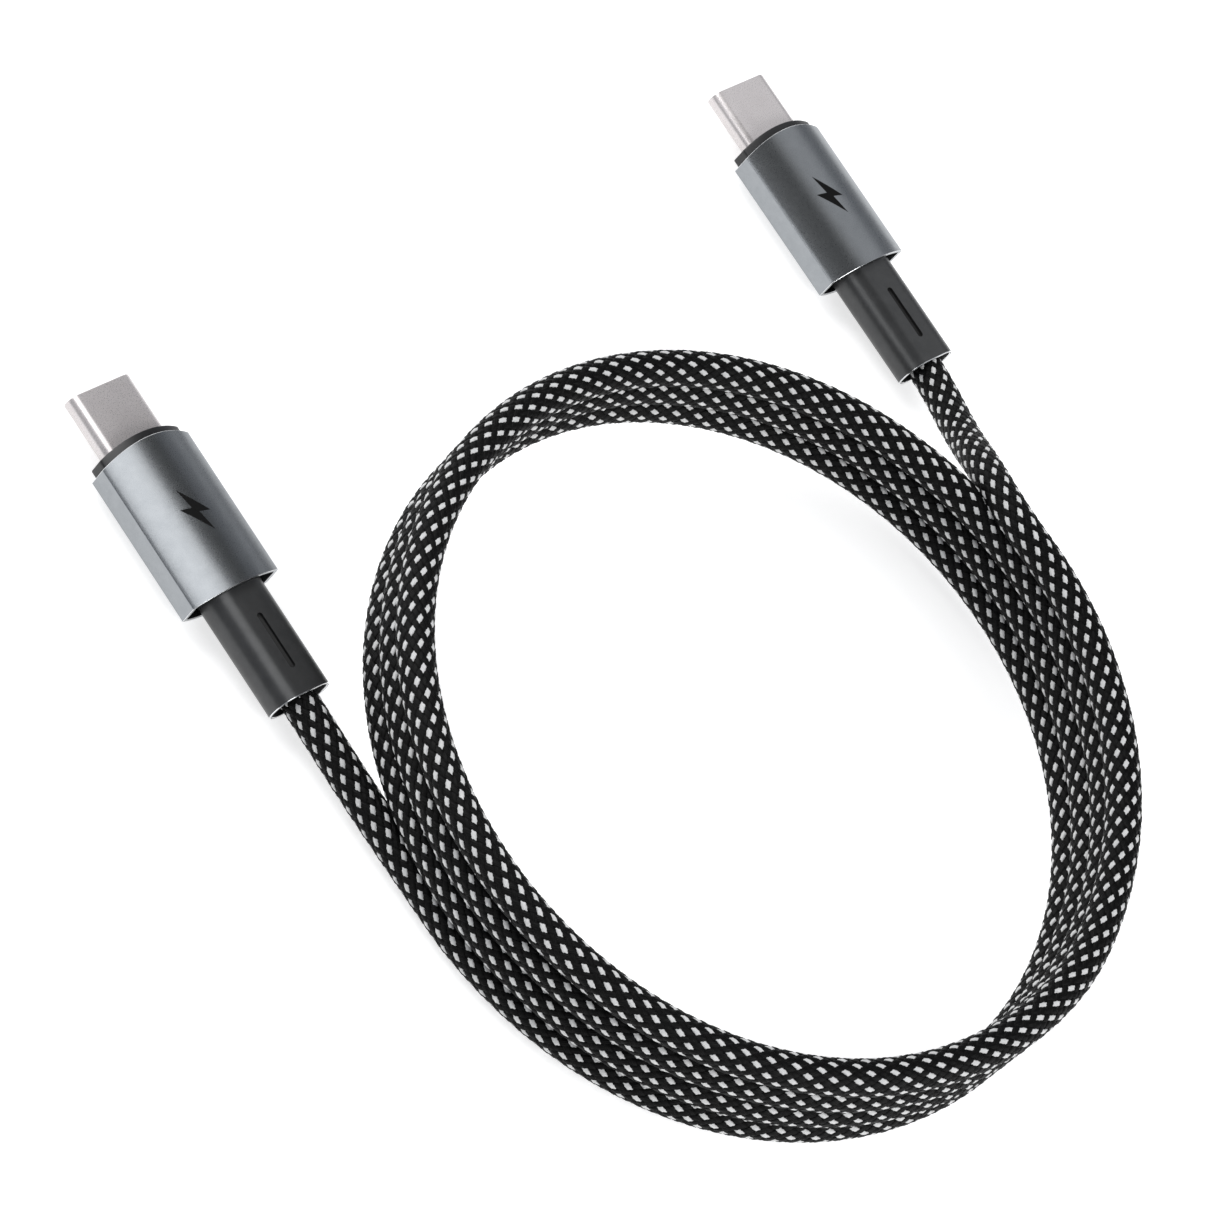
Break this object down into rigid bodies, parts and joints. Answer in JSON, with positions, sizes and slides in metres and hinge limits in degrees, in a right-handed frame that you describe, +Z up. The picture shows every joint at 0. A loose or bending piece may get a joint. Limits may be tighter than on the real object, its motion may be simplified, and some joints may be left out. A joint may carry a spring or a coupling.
{
  "type": "charging cable",
  "caption": "Magnetic braided charging cable with a USB-C plug on each end, wound into a flat round coil with both plugs lying beside it.",
  "frame": {"origin": "centre of the underside: the surface that the coil and both plugs lie on, at the middle of the part's box", "axes": "+Z up, and both plugs point along -X"},
  "size_m": [0.1096, 0.1072, 0.0177],
  "materials": {
    "anodised_casing": "bead blasted, space grey anodised",
    "black_collar": "moulded, satin",
    "dark_sleeve": "moulded, satin",
    "steel_shell": "deep drawn, satin nickel plated",
    "black_insulator": "moulded",
    "gold_contact": "gold plated",
    "spring_steel": "bright rolled",
    "circuit_board": "solder mask",
    "chip_package": "moulded epoxy",
    "inner_mould": "moulded polyethylene",
    "wire_insulation": "extruded",
    "braided_cable": "black net braid with pale diamond spots"
  },
  "bodies": {
    "cable": {"casing_a": "anodised_casing", "nose_collar_a": "black_collar", "rear_insert_a": "black_collar", "plug_shell_a": "steel_shell", "contact_housing_a": "black_insulator", "upper_contacts_a": "gold_contact", "lower_contacts_a": "gold_contact", "ground_springs_a": "spring_steel", "circuit_board_a": "circuit_board", "emarker_chip_a": "chip_package", "shield_can_a": "spring_steel", "cable_end_a": "braided_cable", "crimp_ferrule_a": "steel_shell", "inner_mould_a": "inner_mould", "wire_ends_a": "wire_insulation", "strain_relief_a": "dark_sleeve", "casing_b": "anodised_casing", "nose_collar_b": "black_collar", "rear_insert_b": "black_collar", "plug_shell_b": "steel_shell", "contact_housing_b": "black_insulator", "upper_contacts_b": "gold_contact", "lower_contacts_b": "gold_contact", "ground_springs_b": "spring_steel", "circuit_board_b": "circuit_board", "emarker_chip_b": "chip_package", "shield_can_b": "spring_steel", "cable_end_b": "braided_cable", "crimp_ferrule_b": "steel_shell", "inner_mould_b": "inner_mould", "wire_ends_b": "wire_insulation", "strain_relief_b": "dark_sleeve", "cord_coil": "braided_cable", "lead_a": "braided_cable", "lead_b": "braided_cable"},
    "latch_left_a": {"latch_arm_left_a": "spring_steel"},
    "latch_right_a": {"latch_arm_right_a": "spring_steel"},
    "latch_left_b": {"latch_arm_left_b": "spring_steel"},
    "latch_right_b": {"latch_arm_right_b": "spring_steel"}
  },
  "joints": [
    {"name": "latch_left_a_flex", "type": "hinge", "parent": "cable", "child": "latch_left_a", "pos_m": [-0.04605, -0.05136, 0.00315], "axis": [0, 0, 1], "range_deg": [0, 2.5], "stiffness_Nm_per_rad": 0.004},
    {"name": "latch_right_a_flex", "type": "hinge", "parent": "cable", "child": "latch_right_a", "pos_m": [-0.04605, -0.04444, 0.00315], "axis": [0, 0, -1], "range_deg": [0, 2.5], "stiffness_Nm_per_rad": 0.004},
    {"name": "latch_left_b_flex", "type": "hinge", "parent": "cable", "child": "latch_left_b", "pos_m": [-0.04855, 0.04444, 0.00315], "axis": [0, 0, 1], "range_deg": [0, 2.5], "stiffness_Nm_per_rad": 0.004},
    {"name": "latch_right_b_flex", "type": "hinge", "parent": "cable", "child": "latch_right_b", "pos_m": [-0.04855, 0.05136, 0.00315], "axis": [0, 0, -1], "range_deg": [0, 2.5], "stiffness_Nm_per_rad": 0.004}
  ]
}
